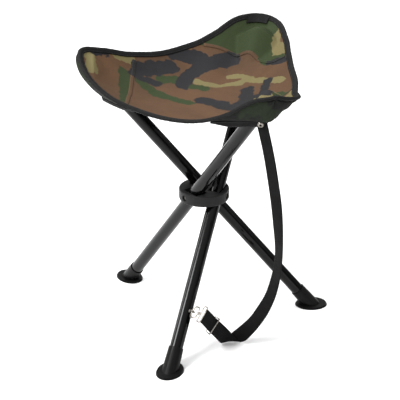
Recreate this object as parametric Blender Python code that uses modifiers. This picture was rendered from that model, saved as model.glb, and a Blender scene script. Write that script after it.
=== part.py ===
"""Folding three-leg camp stool: three tube legs turn in a plastic hub and carry a sewn seat.

Metres, +Z up. The stool stands on z = 0 with its base box centred on the origin. Run it with
blender --background --python part.py, or from Blender's text editor.
"""

import math

import bmesh
import bpy
from mathutils import Matrix, Vector

# Driving dimensions, in metres and degrees
HUB_AXIS = Vector((0.0097, -0.0060, 0.0))  # the hub's centre line, seen from above
LEG_AZIMUTH = {"a": -28.5, "b": 207.5, "c": 90.0}  # plan direction of each leg's top end
LEG_PITCH = 50.7  # slope of an open leg above the floor
LEG_OFFSET = 0.0224  # each leg passes this far beside the hub's axis
PIVOT_HEIGHT = 0.2351
TUBE_RADIUS = 0.011
TUBE_WALL = 0.0012
TUBE_LOW = -0.289  # tube ends, measured along the leg from its pivot
TUBE_HIGH = 0.286
GAP = 0.0003  # clearance between parts that touch
HUB_RADIUS = 0.0422
HUB_HEIGHT = 0.0190
PIN_RADIUS = 0.0030
PIN_HEAD_RADIUS = 0.0048
BOOT_RADIUS = 0.0139
BOOT_MOUTH_RADIUS = 0.0124
BOOT_LENGTH = 0.040
SOLE = (0.0285, 0.0220, 0.0030)  # half length, half width and thickness of the foot's flange

# Seat outline as (plan angle, radius, height), anticlockwise about the hub's axis
SEAT_OUTLINE = [
    (-45, 0.184, 0.460), (-37, 0.202, 0.467), (-22, 0.200, 0.457), (-8, 0.167, 0.447),
    (12, 0.150, 0.444), (35, 0.148, 0.446), (54, 0.166, 0.454), (68, 0.198, 0.463),
    (79, 0.229, 0.475), (88, 0.230, 0.481), (97, 0.202, 0.480), (107, 0.168, 0.463),
    (121, 0.143, 0.451), (149, 0.126, 0.448), (176, 0.142, 0.459), (191, 0.171, 0.475),
    (203, 0.199, 0.484), (214, 0.193, 0.460), (228, 0.169, 0.434), (246, 0.138, 0.416),
    (268, 0.126, 0.410), (292, 0.137, 0.417), (306, 0.160, 0.436),
]
SEAT_LOW = 0.402  # height of the fabric over the hub
SAG_POWER = 2.8
FABRIC = 0.0015
SEAM_AT = 0.128  # a corner panel starts this far out along its leg
TAPE_WIDTH = 0.009
TAPE = 0.0028
RIDGE_SLOPE = 0.8
RIDGE_ROUND = 0.012
POCKET_DROP = 0.0045  # a pocket's sides hang this far below the seat
POCKET_BULGE = {"a": 0.003, "b": 0.012, "c": 0.002}  # its sides swell round the tube's end
POCKET_SAG = {"a": 1.8, "b": 1.4, "c": 1.4}
POCKET_MOUTH = {"a": (0.178, 0.4246), "b": (0.165, 0.401), "c": (0.165, 0.401)}  # its low point
POCKET_KEEL = {"a": (0.202, 0.417), "b": (0.208, 0.434), "c": (0.212, 0.420)}
MOUTH_AT = 0.119

# Carry strap: centre points and the direction across its width, about the hub's axis
STRAP_WIDTH = 0.025
STRAP_THICKNESS = 0.0014
STRAP = [
    ((0.141, -0.103, 0.4105), (0.91, -0.42, 0.00)),
    ((0.148, -0.097, 0.370), (0.91, -0.40, 0.00)),
    ((0.154, -0.092, 0.328), (0.91, -0.40, 0.00)),
    ((0.159, -0.085, 0.279), (0.91, -0.41, 0.00)),
    ((0.161, -0.079, 0.235), (0.86, -0.51, 0.00)),
    ((0.161, -0.072, 0.189), (0.76, -0.65, 0.00)),
    ((0.157, -0.067, 0.150), (0.76, -0.64, -0.10)),
    ((0.150, -0.064, 0.117), (0.78, -0.59, -0.21)),
    ((0.142, -0.062, 0.092), (0.78, -0.57, -0.25)),
    ((0.130, -0.060, 0.066), (0.80, -0.48, -0.35)),
    ((0.115, -0.060, 0.040), (0.75, -0.48, -0.44)),
    ((0.098, -0.063, 0.0185), (0.78, -0.25, -0.57)),
    ((0.0865, -0.0655, 0.0072), (0.90, 0.15, -0.38)),
    ((0.0805, -0.0685, 0.0026), (0.92, 0.38, -0.10)),
    ((0.0765, -0.0770, 0.0085), (0.76, 0.50, 0.42)),
    ((0.0722, -0.0940, 0.0290), (0.45, 0.66, 0.60)),
    ((0.0663, -0.1142, 0.0530), (0.30, 0.74, 0.60)),
    ((0.0610, -0.1320, 0.0755), (0.20, 0.77, 0.61)),
    ((0.0592, -0.1388, 0.0838), (0.19, 0.77, 0.61)),
]
# Snap hook: its frame stands at the middle of the eye's hole
EYE_CENTRE = Vector((0.0375, -0.1345, 0.0845))
HOOK_OUT = Vector((0.94, -0.32, 0.12)).normalized()
HOOK_ACROSS = Vector((0.183, 0.767, 0.616))
HOOK_ROD = 0.0014
SLIDER_ALONG = Vector((-0.184, -0.615, 0.767)).normalized()


# Scene, collections and materials
def clear_scene():
    for item in list(bpy.data.objects):
        bpy.data.objects.remove(item, do_unlink=True)


def collection(name):
    made = bpy.data.collections.new(name)
    bpy.context.scene.collection.children.link(made)
    return made


clear_scene()
PARTS = collection("three_leg_stool")
CUTTERS = collection("cutters")


def material(name, color, roughness, metallic=0.0):
    made = bpy.data.materials.new(name)
    made.use_nodes = True
    shader = made.node_tree.nodes["Principled BSDF"]
    shader.inputs["Base Color"].default_value = (*color, 1.0)
    shader.inputs["Roughness"].default_value = roughness
    shader.inputs["Metallic"].default_value = metallic
    made.diffuse_color = (*color, 1.0)
    return made


BLACK_PAINT = material("black_painted_steel", (0.016, 0.016, 0.018), 0.28)
RUBBER = material("black_rubber", (0.020, 0.020, 0.020), 0.75)
PLASTIC = material("black_plastic", (0.022, 0.022, 0.024), 0.5)
STEEL = material("bright_steel", (0.62, 0.60, 0.57), 0.25, 1.0)
CAMOUFLAGE = material("camouflage_fabric", (0.20, 0.13, 0.08), 0.85)
POCKET_CLOTH = material("green_fabric", (0.05, 0.07, 0.04), 0.85)
TAPE_CLOTH = material("black_tape", (0.018, 0.018, 0.018), 0.8)
WEBBING = material("black_webbing", (0.03, 0.03, 0.03), 0.8)


# Objects and modifiers
def place(mesh, name, finish, parent=None, matrix=None):
    """Add a mesh as a named part, in its parent's frame or at a matrix."""
    made = bpy.data.objects.new(name, mesh)
    PARTS.objects.link(made)
    if finish.name not in mesh.materials:
        mesh.materials.append(finish)
    made.parent = parent
    if matrix is not None:
        made.matrix_local = matrix
    return made


def guide(mesh, name):
    """A hidden object that only shapes others."""
    made = bpy.data.objects.new(name, mesh)
    CUTTERS.objects.link(made)
    made.hide_render = True
    made.display_type = "WIRE"
    return made


def frozen(item):
    """The item's mesh with its modifiers applied; the item and its own data go."""
    bpy.context.view_layer.update()
    graph = bpy.context.evaluated_depsgraph_get()
    mesh = bpy.data.meshes.new_from_object(item.evaluated_get(graph))
    mesh.transform(item.matrix_world)
    for modifier in item.modifiers:
        if modifier.type == "BOOLEAN":
            bpy.data.objects.remove(modifier.object, do_unlink=True)
    bpy.data.objects.remove(item, do_unlink=True)
    return mesh


def combine(item, other, operation):
    modifier = item.modifiers.new(operation.title(), "BOOLEAN")
    modifier.object = other
    modifier.operation = operation
    modifier.solver = "EXACT"


def smooth(mesh, angle=35):
    mesh.shade_smooth()
    mesh.set_sharp_from_angle(angle=math.radians(angle))


def as_mesh(bm, name):
    mesh = bpy.data.meshes.new(name)
    bm.to_mesh(mesh)
    bm.free()
    return mesh


def cylinder(name, radius, low, high, axis="Z", top_radius=None, segments=32):
    """A cylinder or cone from low to high along a local axis."""
    bm = bmesh.new()
    end = radius if top_radius is None else top_radius
    bmesh.ops.create_cone(bm, cap_ends=True, segments=segments, radius1=radius, radius2=end,
                          depth=high - low)
    bmesh.ops.translate(bm, verts=bm.verts, vec=(0, 0, (low + high) / 2))
    turn = {"Z": Matrix(), "X": Matrix.Rotation(math.radians(90), 4, "Y"),
            "Y": Matrix.Rotation(math.radians(-90), 4, "X")}[axis]
    bm.transform(turn)
    return as_mesh(bm, name)


def block(name, size, centre):
    bm = bmesh.new()
    bmesh.ops.create_cube(bm, size=1.0)
    bm.transform(Matrix.Translation(centre) @ Matrix.Diagonal((*size, 1.0)))
    return as_mesh(bm, name)


def turned(name, profile, steps=32, closed=False):
    """A profile of (radius, height) points, from the top down, turned about Z."""
    mesh = bpy.data.meshes.new(name)
    count = len(profile)
    edges = [(i, i + 1) for i in range(count - 1)]
    if closed:
        edges.append((count - 1, 0))
    mesh.from_pydata([(r, 0.0, z) for r, z in profile], edges, [])
    item = guide(mesh, name)
    screw = item.modifiers.new("Screw", "SCREW")
    screw.steps = steps
    screw.render_steps = steps
    screw.use_merge_vertices = True
    screw.merge_threshold = 0.00001
    made = frozen(item)
    smooth(made)
    return made


def welded(curve_object):
    """A curve as a closed mesh, with its caps joined to its walls."""
    mesh = frozen(curve_object)
    bm = bmesh.new()
    bm.from_mesh(mesh)
    bmesh.ops.remove_doubles(bm, verts=bm.verts, dist=0.00001)
    bmesh.ops.recalc_face_normals(bm, faces=bm.faces)
    bm.to_mesh(mesh)
    bm.free()
    return mesh


def poly_curve(name, points, cyclic, dimensions):
    data = bpy.data.curves.new(name, "CURVE")
    data.dimensions = dimensions
    spline = data.splines.new("POLY")
    spline.points.add(len(points) - 1)
    for target, point in zip(spline.points, points):
        target.co = (*point, 0.0, 1.0) if len(point) == 2 else (*point, 1.0)
    spline.use_cyclic_u = cyclic
    return data


def extruded(name, outline, half_depth):
    """A flat outline in XY, drawn out to both sides along Z."""
    data = poly_curve(name, outline, True, "2D")
    data.fill_mode = "BOTH"
    data.extrude = half_depth
    return welded(guide(data, name))


def wire(name, points, radius, cyclic=False, resolution=2):
    """A round wire through the points."""
    data = poly_curve(name, points, cyclic, "3D")
    data.bevel_depth = radius
    data.bevel_resolution = resolution
    data.use_fill_caps = not cyclic
    return welded(guide(data, name))


def sheet(mesh, thickness):
    """Give an open surface an even thickness about its middle."""
    item = guide(mesh, mesh.name)
    solid = item.modifiers.new("Solidify", "SOLIDIFY")
    solid.thickness = thickness
    solid.offset = 0.0
    return frozen(item)


def grid(name, rows, columns, point, cyclic=False):
    """An open surface through point(i, j); a cyclic one closes along j."""
    bm = bmesh.new()
    across = columns if cyclic else columns + 1
    net = [[bm.verts.new(point(i, j)) for j in range(across)] for i in range(rows + 1)]
    for i in range(rows):
        for j in range(columns):
            k = (j + 1) % across
            bm.faces.new((net[i][j], net[i + 1][j], net[i + 1][k], net[i][k]))
    return as_mesh(bm, name)


def smooth_path(points, per_span):
    """A Catmull-Rom path through the points, which are tuples of any length."""
    ends = [points[0], *points, points[-1]]
    path = []
    for k in range(1, len(ends) - 2):
        before, start, end, after = ends[k - 1:k + 3]
        for step in range(per_span):
            t = step / per_span
            path.append(tuple(
                0.5 * (2 * b + (c - a) * t + (2 * a - 5 * b + 4 * c - d) * t * t
                       + (3 * b - a - 3 * c + d) * t ** 3)
                for a, b, c, d in zip(before, start, end, after)))
    return path + [tuple(points[-1])]


# Legs: one frame each, with the pivot pin along local Y and the tube along local Z
def leg_axes(letter):
    """Plan direction of the leg's top, and the direction of its pivot pin."""
    angle = math.radians(LEG_AZIMUTH[letter])
    out = Vector((math.cos(angle), math.sin(angle), 0.0))
    return out, Vector((out.y, -out.x, 0.0))


PITCH = math.radians(LEG_PITCH)
UP = Vector((0.0, 0.0, 1.0))


def leg_empty(letter):
    out, pin = leg_axes(letter)
    along = math.cos(PITCH) * out + math.sin(PITCH) * UP
    side = pin.cross(along)
    made = bpy.data.objects.new(f"leg_{letter}_pivot", None)
    PARTS.objects.link(made)
    turn = Matrix((side, pin, along)).transposed().to_4x4()
    made.matrix_world = Matrix.Translation(HUB_AXIS + LEG_OFFSET * pin + PIVOT_HEIGHT * UP) @ turn
    made.empty_display_size = 0.03
    return made


def tube_mesh():
    inner = TUBE_RADIUS - TUBE_WALL
    heights = [TUBE_HIGH, 0.012, -0.012, TUBE_LOW]
    profile = [(TUBE_RADIUS, z) for z in heights] + [(inner, z) for z in reversed(heights)]
    item = guide(turned("tube", profile, closed=True), "tube")
    hole = cylinder("pin_hole", PIN_RADIUS + GAP, -2 * TUBE_RADIUS, 2 * TUBE_RADIUS, "Y", segments=24)
    combine(item, guide(hole, "pin_hole"), "DIFFERENCE")
    mesh = frozen(item)
    smooth(mesh)
    return mesh


def plug_mesh():
    """The plastic plug that rounds off a tube's top end."""
    stem = TUBE_RADIUS - TUBE_WALL - GAP
    seat = TUBE_HIGH + GAP
    dome = [(TUBE_RADIUS * math.cos(a), seat + 0.0015 + 0.003 * math.sin(a))
            for a in (math.radians(90 - 22.5 * k) for k in range(5))]
    dome[0] = (0.0, dome[0][1])
    return turned("tube_plug", [*dome, (TUBE_RADIUS, seat), (stem, seat), (stem, seat - 0.014),
                                (stem - 0.001, seat - 0.015), (0.0, seat - 0.015)], steps=24)


def boot_mesh():
    """A rubber boot on the tube's low end, with a flat oval sole that lies on the floor."""
    reach = PIVOT_HEIGHT / math.sin(PITCH)
    sleeve = guide(cylinder("boot", BOOT_RADIUS, -reach - 0.014, -reach + BOOT_LENGTH,
                            top_radius=BOOT_MOUTH_RADIUS), "boot")
    level = Matrix(((math.sin(PITCH), 0, math.cos(PITCH)), (0, 1, 0),
                    (-math.cos(PITCH), 0, math.sin(PITCH)))).to_4x4()
    floor = Matrix.Translation((0, 0, -reach)) @ level
    half_length, half_width, thickness = SOLE
    sole = cylinder("sole", 1.0, 0.0, thickness, top_radius=0.94, segments=40)
    sole.transform(floor @ Matrix.Diagonal((half_length, half_width, 1.0, 1.0)))
    below = block("below_floor", (0.12, 0.12, 0.05), (0, 0, -0.025))
    below.transform(floor)
    bore = cylinder("bore", TUBE_RADIUS + GAP, TUBE_LOW - GAP, TUBE_LOW + 0.06)
    combine(sleeve, guide(sole, "sole"), "UNION")
    combine(sleeve, guide(below, "below"), "DIFFERENCE")
    combine(sleeve, guide(bore, "bore"), "DIFFERENCE")
    mesh = frozen(sleeve)
    smooth(mesh)
    return mesh


# Hub: a moulded puck with a slot for each leg
def slot_outline():
    """The space that a leg sweeps between open and upright, across the hub's height."""
    half = TUBE_RADIUS + 0.0004
    high = HUB_HEIGHT
    lean = half / math.sin(PITCH) + high / math.tan(PITCH)
    neck = half * (1 / math.sin(PITCH) - 1) * math.tan(PITCH)
    right = [(half, -high), (half, -neck), (lean, high)]
    return right + [(-x, -y) for x, y in right]


def hub_mesh():
    top, radius, edge = HUB_HEIGHT / 2, HUB_RADIUS, 0.0022
    rounding = [math.radians(90 - 30 * k) for k in range(4)]
    profile = [(0.0, top)]
    profile += [(radius - edge + edge * math.cos(a), top - edge + edge * math.sin(a)) for a in rounding]
    profile += [(r, -z) for r, z in reversed(profile)]
    hub = guide(turned("hub", profile, steps=48), "hub")
    for letter in LEG_AZIMUTH:
        out, pin = leg_axes(letter)
        slot = extruded("slot", slot_outline(), TUBE_RADIUS + 0.0004)
        turn = Matrix((out, UP, pin)).transposed().to_4x4()
        slot.transform(Matrix.Translation(LEG_OFFSET * pin) @ turn)
        combine(hub, guide(slot, "slot"), "DIFFERENCE")
        bore = cylinder("bore", PIN_RADIUS + GAP, 0.0065, 0.06, segments=24)
        recess = cylinder("recess", PIN_HEAD_RADIUS + GAP, 0.0374, 0.06, segments=24)
        across = Matrix((out, UP, pin)).transposed().to_4x4()
        for cutter in (bore, recess):
            cutter.transform(across)
            combine(hub, guide(cutter, "bore"), "DIFFERENCE")
    mesh = frozen(hub)
    smooth(mesh)
    return mesh


def pin_mesh():
    """A rivet: the shaft starts near the hub's core and the head sits in the outer wall."""
    return turned("pivot_pin", [(0.0, 0.0402), (0.0030, 0.0400), (PIN_HEAD_RADIUS, 0.0392),
                                (PIN_HEAD_RADIUS, 0.0378), (PIN_RADIUS, 0.0378),
                                (PIN_RADIUS, 0.0072), (0.0, 0.0070)], steps=24)


# Seat: one freeform surface, cut into the pieces that are sewn together
def outline_at(angle):
    """Radius and height of the seat's edge at a plan angle, by cubic spans between its points."""
    turn = (angle + 45) % 360 - 45
    count = len(SEAT_OUTLINE)
    k = max(i for i in range(count) if SEAT_OUTLINE[i][0] <= turn)

    def knot(i):
        a, radius, height = SEAT_OUTLINE[i % count]
        return a + 360 * (i // count), radius, height

    before, start, end, after = (knot(k + i) for i in (-1, 0, 1, 2))
    t = (turn - start[0]) / (end[0] - start[0])
    values = []
    for column in (1, 2):
        slope_in = (end[column] - before[column]) / (end[0] - before[0]) * (end[0] - start[0])
        slope_out = (after[column] - start[column]) / (after[0] - start[0]) * (end[0] - start[0])
        values.append((2 * t ** 3 - 3 * t ** 2 + 1) * start[column] + (t ** 3 - 2 * t ** 2 + t) * slope_in
                      + (3 * t ** 2 - 2 * t ** 3) * end[column] + (t ** 3 - t ** 2) * slope_out)
    return values


def ridge_height(plan, letter):
    """Height of the fabric where it lies on a leg's tube like a tent."""
    out, pin = leg_axes(letter)
    along, aside = plan.dot(out), plan.dot(pin) - LEG_OFFSET
    crest = (TUBE_HIGH + 0.0065) * math.cos(PITCH) - TUBE_RADIUS * math.sin(PITCH)
    lift = (TUBE_RADIUS + 0.0028) / math.cos(PITCH)
    height = PIVOT_HEIGHT + min(along, crest) * math.tan(PITCH) + lift
    height -= max(0.0, along - crest - 0.008) * 0.4
    return height - RIDGE_SLOPE * (math.hypot(aside, RIDGE_ROUND) - RIDGE_ROUND)


def seat_point(angle, share):
    """A point of the seat's middle surface: share 0 is over the hub, 1 on the edge."""
    radius, edge = outline_at(angle)
    turn = math.radians(angle)
    plan = share * radius * Vector((math.cos(turn), math.sin(turn), 0.0))
    height = SEAT_LOW + (edge - SEAT_LOW) * share ** SAG_POWER
    if plan.length > 0.06:
        for letter in LEG_AZIMUTH:
            over = ridge_height(plan, letter)
            height = (height + over + math.hypot(height - over, 0.004)) / 2
    return HUB_AXIS + plan + height * UP


def tape_share(angle, width):
    return 1 - width / outline_at(angle)[0]


def seam_cut(mesh, letter, distance, keep_outer):
    """Cut a surface where it crosses a leg's seam line, and keep one side."""
    out, _ = leg_axes(letter)
    bm = bmesh.new()
    bm.from_mesh(mesh)
    parts = [*bm.verts, *bm.edges, *bm.faces]
    bmesh.ops.bisect_plane(bm, geom=parts, plane_co=HUB_AXIS + distance * out, plane_no=out,
                           clear_inner=keep_outer, clear_outer=not keep_outer)
    bm.to_mesh(mesh)
    bm.free()


SEAT_RINGS = [0.0, 0.30, 0.52, 0.66, 0.74, 0.80, 0.86, 0.93, 1.0]
SPOKES_ABOUT_CORNER = [-54, -44, -34, -25, -18, -13, -9.5, -6.5, -4, -2, 0, 2, 4, 6.5, 9.5, 13, 18, 25, 34, 44, 54]


def corner_azimuth(letter):
    out, pin = leg_axes(letter)
    tip = TUBE_HIGH * math.cos(PITCH) * out + LEG_OFFSET * pin
    return math.degrees(math.atan2(tip.y, tip.x)) % 360


def seat_spokes():
    """Plan angles of the lines that the seat's surface is built on, closer together over the legs."""
    return [(corner_azimuth(letter) + step) for letter in "acb" for step in SPOKES_ABOUT_CORNER]


def seat_surface(name):
    spokes = seat_spokes()

    def point(i, j):
        angle = spokes[j]
        inner = tape_share(angle, TAPE_WIDTH + 2 * GAP)
        return seat_point(angle, max(SEAT_RINGS[i], 0.004) * inner)
    mesh = grid(name, len(SEAT_RINGS) - 1, len(spokes), point, cyclic=True)
    bm = bmesh.new()
    bm.from_mesh(mesh)
    bmesh.ops.contextual_create(bm, geom=[e for e in bm.edges if e.is_boundary
                                          and (e.verts[0].co - HUB_AXIS).xy.length < 0.01])
    bmesh.ops.recalc_face_normals(bm, faces=bm.faces)
    bm.to_mesh(mesh)
    bm.free()
    return mesh


def seat_panel():
    mesh = seat_surface("seat_panel")
    for letter in LEG_AZIMUTH:
        seam_cut(mesh, letter, SEAM_AT - GAP, keep_outer=False)
    place(sheet(mesh, FABRIC), "seat_panel", CAMOUFLAGE)


def corner_panel(letter):
    mesh = seat_surface("corner_panel")
    seam_cut(mesh, letter, SEAM_AT + GAP, keep_outer=True)
    place(sheet(mesh, FABRIC), f"corner_panel_{letter}", CAMOUFLAGE)


def edge_binding(start, end):
    """A folded tape along one side of the seat, between two corners."""
    first = corner_azimuth(start)
    span = (corner_azimuth(end) - first) % 360
    steps = sorted({(angle - first) % 360 for angle in seat_spokes()})
    steps = [0.12] + [step for step in steps if 1 < step < span - 1] + [span - 0.12]

    def point(i, j):
        angle = first + steps[j]
        return seat_point(angle, tape_share(angle, TAPE_WIDTH * (1 - i)))
    name = f"edge_binding_{start}{end}"
    place(sheet(grid(name, 1, len(steps) - 1, point), TAPE), name, TAPE_CLOTH)


def mouth_azimuth(letter, side):
    """Where the pocket's mouth meets the seat's edge on one side of its corner."""
    out, _ = leg_axes(letter)
    angle = corner_azimuth(letter)
    while True:
        turn = math.radians(angle)
        if outline_at(angle)[0] * (math.cos(turn) * out.x + math.sin(turn) * out.y) < MOUTH_AT:
            return angle
        angle += side * 0.5


def pocket_point(letter, share, across):
    """The pocket under a corner: share runs from mouth to tip, across from edge to edge."""
    out, pin = leg_axes(letter)
    tip_angle = corner_azimuth(letter)
    tip = seat_point(tip_angle, tape_share(tip_angle, 0.5 * TAPE_WIDTH)) - POCKET_DROP * UP
    start, control = POCKET_MOUTH[letter], POCKET_KEEL[letter]
    low = HUB_AXIS + start[0] * out + LEG_OFFSET * pin + start[1] * UP
    mid = HUB_AXIS + control[0] * out + LEG_OFFSET * pin + control[1] * UP
    keel = (1 - share) ** 2 * low + 2 * share * (1 - share) * mid + share ** 2 * tip
    side = 1 if across > 0 else -1
    mouth = mouth_azimuth(letter, side)
    angle = mouth + (tip_angle - mouth) * share
    edge = seat_point(angle, tape_share(angle, 0.5 * TAPE_WIDTH)) - POCKET_DROP * UP
    reach = abs(across)
    place_at = keel + (edge - keel) * reach
    place_at += POCKET_BULGE[letter] * max(share, 0.0) * math.sin(math.pi * reach) * out
    place_at.z = keel.z + (edge.z - keel.z) * reach ** POCKET_SAG[letter]
    return place_at


def pocket(letter):
    def point(i, j):
        return pocket_point(letter, 0.97 * i / 7, -1 + 2 * j / 12)
    mesh = grid("pocket", 7, 12, point)
    place(sheet(mesh, FABRIC), f"pocket_{letter}", POCKET_CLOTH)


def hem_point(letter, share, across):
    """The tape round the pocket's mouth hangs below it, and tucks in: share 0 is its top, 1 its foot."""
    out, _ = leg_axes(letter)
    drop = 0.0022 + 0.0103 * share
    return pocket_point(letter, 0.0, across) - drop * UP - 0.42 * (drop - 0.0022) * out


def pocket_hem(letter):
    def point(i, j):
        return hem_point(letter, 1 - i, -1 + 2 * j / 12)
    mesh = grid("pocket_hem", 1, 12, point)
    place(sheet(mesh, 0.002), f"pocket_hem_{letter}", TAPE_CLOTH)


def sewn_tag():
    """A blank tag sewn on top of the back corner."""
    def point(i, j):
        angle = 86 + 9 * j / 6
        return seat_point(angle, tape_share(angle, 0.022 - 0.010 * i)) + 0.0036 * UP
    place(sheet(grid("sewn_tag", 1, 6, point), 0.0008), "sewn_tag", TAPE_CLOTH)


# Carry strap and its fittings
def strap():
    """Flat webbing through its knots, each a centre point and a direction across."""
    path = smooth_path([(*centre, *across) for centre, across in STRAP], 3)

    def point(i, j):
        centre, across = Vector(path[j][:3]), Vector(path[j][3:]).normalized()
        return HUB_AXIS + centre + (i - 1) * STRAP_WIDTH / 2 * across
    mesh = grid("carry_strap", 2, len(path) - 1, point)
    place(sheet(mesh, STRAP_THICKNESS), "carry_strap", WEBBING)


def strap_rivet():
    """An eyelet rivet that holds the strap to the pocket's hem."""
    spot = hem_point("a", 0.52, -0.07)
    beyond = hem_point("a", 0.92, -0.07) - spot
    sideways = hem_point("a", 0.52, -0.11) - spot
    normal = beyond.cross(sideways).normalized()
    if normal.z > 0:
        normal = -normal
    mesh = turned("strap_rivet", [(0.0020, 0.0024), (0.0040, 0.0022), (0.0049, 0.0012), (0.0049, 0.0004),
                                  (0.0020, 0.0004)], steps=24, closed=True)
    turn = normal.to_track_quat("Z", "Y").to_matrix().to_4x4()
    place(mesh, "strap_rivet", STEEL, matrix=Matrix.Translation(spot + 0.0012 * normal) @ turn)


def hook_frame():
    """X points away from the leg, Y across the strap; the origin is in the eye's hole."""
    across = (HOOK_ACROSS - HOOK_ACROSS.dot(HOOK_OUT) * HOOK_OUT).normalized()
    turn = Matrix((HOOK_OUT, across, HOOK_OUT.cross(across))).transposed().to_4x4()
    return Matrix.Translation(HUB_AXIS + EYE_CENTRE) @ turn


def arc(centre, radius, start, end, count):
    """Points of an arc in XY, from start to end degrees."""
    angles = [math.radians(start + (end - start) * k / count) for k in range(count + 1)]
    return [(centre[0] + radius * math.cos(a), centre[1] + radius * math.sin(a), 0.0) for a in angles]


def strap_eye():
    """A wire eye on a small foot, fixed to the side of leg c."""
    frame = hook_frame()
    out, pin = leg_axes("c")
    along = math.cos(PITCH) * out + math.sin(PITCH) * UP
    middle = HUB_AXIS + LEG_OFFSET * pin + PIVOT_HEIGHT * UP
    centre = frame.translation
    foot_at = middle + along * (centre - middle).dot(along)
    outward = (centre - foot_at).normalized()
    ring = wire("strap_eye", [(p[0], 0.0, p[1]) for p in arc((0.0, 0.0), 0.0037, 0, 345, 23)], 0.0010, True)
    ring.transform(frame)
    item = guide(ring, "strap_eye")
    foot = cylinder("eye_foot", 0.0036, TUBE_RADIUS + GAP, 0.0145, segments=24)
    turn = outward.to_track_quat("Z", "Y").to_matrix().to_4x4()
    foot.transform(Matrix.Translation(foot_at) @ turn)
    combine(item, guide(foot, "foot"), "UNION")
    mesh = frozen(item)
    smooth(mesh)
    place(mesh, "strap_eye", STEEL)


HOOK_LONG = 0.0098  # half length of the hook's loop, centre line to centre line
HOOK_DEEP = 0.0110
HOOK_CORNER = 0.0045
GATE_HINGE = 0.0034  # the gate's hinge, this far above the post
GATE_LENGTH = 0.0045


def snap_hook():
    """An open loop of rod: its mouth is between the post and the tip."""
    side, end, turn = HOOK_DEEP - HOOK_CORNER, HOOK_LONG - HOOK_CORNER, HOOK_CORNER
    body = [(HOOK_DEEP, GATE_HINGE - 0.0013, 0.0)]
    body += arc((side, -end), turn, 0, -90, 8)
    body += arc((turn, -end), turn, -90, -180, 8)
    body += arc((turn, end), turn, 180, 90, 8)
    body += arc((side, end), turn, 90, 50, 4)
    item = guide(wire("snap_hook", body, HOOK_ROD), "snap_hook")
    post = cylinder("post", 0.0013, HOOK_DEEP, HOOK_DEEP + 0.0056, "X", segments=20)
    combine(item, guide(post, "post"), "UNION")
    mesh = frozen(item)
    smooth(mesh)
    place(mesh, "snap_hook", STEEL, matrix=hook_frame())


def hook_gate():
    """The sprung gate closes the hook's mouth; it turns about Z at its origin."""
    mesh = wire("hook_gate", [(0.0, 0.0, 0.0), (-0.0004, GATE_LENGTH, 0.0)], 0.0009)
    smooth(mesh)
    place(mesh, "hook_gate", STEEL,
          matrix=hook_frame() @ Matrix.Translation((HOOK_DEEP, GATE_HINGE, 0.0)))


def strap_loop():
    """The wire loop that holds the strap turns on the hook's post."""
    near, far, half, corner = 0.0175, 0.0245, 0.0142, 0.0022
    outline = arc((far - corner, half - corner), corner, 90, 0, 4)
    outline += arc((far - corner, corner - half), corner, 0, -90, 4)
    outline += arc((near + corner, corner - half), corner, -90, -180, 4)
    outline += arc((near + corner, half - corner), corner, 180, 90, 4)
    item = guide(wire("strap_loop", outline, 0.0011, True), "strap_loop")
    boss = guide(cylinder("boss", 0.0028, HOOK_DEEP + 0.0019, near, "X", segments=24), "boss")
    hole = guide(cylinder("hole", 0.0017, HOOK_DEEP, HOOK_DEEP + 0.0060, "X", segments=20), "hole")
    combine(item, boss, "UNION")
    combine(item, hole, "DIFFERENCE")
    mesh = frozen(item)
    smooth(mesh)
    place(mesh, "strap_loop", STEEL, matrix=hook_frame())


def strap_slider():
    """A three-bar slider on the strap."""
    centre = HUB_AXIS + Vector(STRAP[-3][0])
    across = Vector(STRAP[-3][1])
    across = (across - across.dot(SLIDER_ALONG) * SLIDER_ALONG).normalized()
    frame = Matrix((SLIDER_ALONG, across, SLIDER_ALONG.cross(across))).transposed().to_4x4()
    half, bar = 0.0148, 0.0011
    lift = STRAP_THICKNESS / 2 + bar + 3 * GAP
    outline = [(x * 0.0065, y * half, lift) for x, y in ((-1, 1), (1, 1), (1, -1), (-1, -1))]
    item = guide(wire("strap_slider", outline, bar, True), "strap_slider")
    rest = guide(wire("rest", [(0.0, half, lift), (0.0, half, -lift), (0.0, -half, -lift), (0.0, -half, lift)],
                      bar), "rest")
    combine(item, rest, "UNION")
    mesh = frozen(item)
    smooth(mesh)
    place(mesh, "strap_slider", STEEL, matrix=Matrix.Translation(centre) @ frame)


# Assembly
def legs():
    tube, plug, boot = tube_mesh(), plug_mesh(), boot_mesh()
    for letter in LEG_AZIMUTH:
        pivot = leg_empty(letter)
        place(tube, f"leg_tube_{letter}", BLACK_PAINT, pivot)
        place(plug, f"tube_plug_{letter}", PLASTIC, pivot)
        place(boot, f"foot_boot_{letter}", RUBBER, pivot)


def hub():
    centre = Matrix.Translation(HUB_AXIS + PIVOT_HEIGHT * UP)
    place(hub_mesh(), "hub_body", PLASTIC, matrix=centre)
    pin = pin_mesh()
    for letter in LEG_AZIMUTH:
        out, outward = leg_axes(letter)
        turn = Matrix((out, UP, outward)).transposed().to_4x4()
        place(pin, f"pivot_pin_{letter}", STEEL, matrix=centre @ turn)


def seat():
    seat_panel()
    for start, end in (("a", "c"), ("c", "b"), ("b", "a")):
        edge_binding(start, end)
    for letter in LEG_AZIMUTH:
        corner_panel(letter)
        pocket(letter)
        pocket_hem(letter)
    sewn_tag()


def carry_strap():
    strap()
    strap_rivet()
    strap_eye()
    snap_hook()
    hook_gate()
    strap_loop()
    strap_slider()


legs()
hub()
seat()
carry_strap()
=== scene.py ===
"""Looks for the folding three-leg camp stool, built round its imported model.

Metres, +Z up. Plan positions are measured from the hub's centre line.
"""

import math

import bmesh
import bpy
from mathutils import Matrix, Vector, noise


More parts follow.
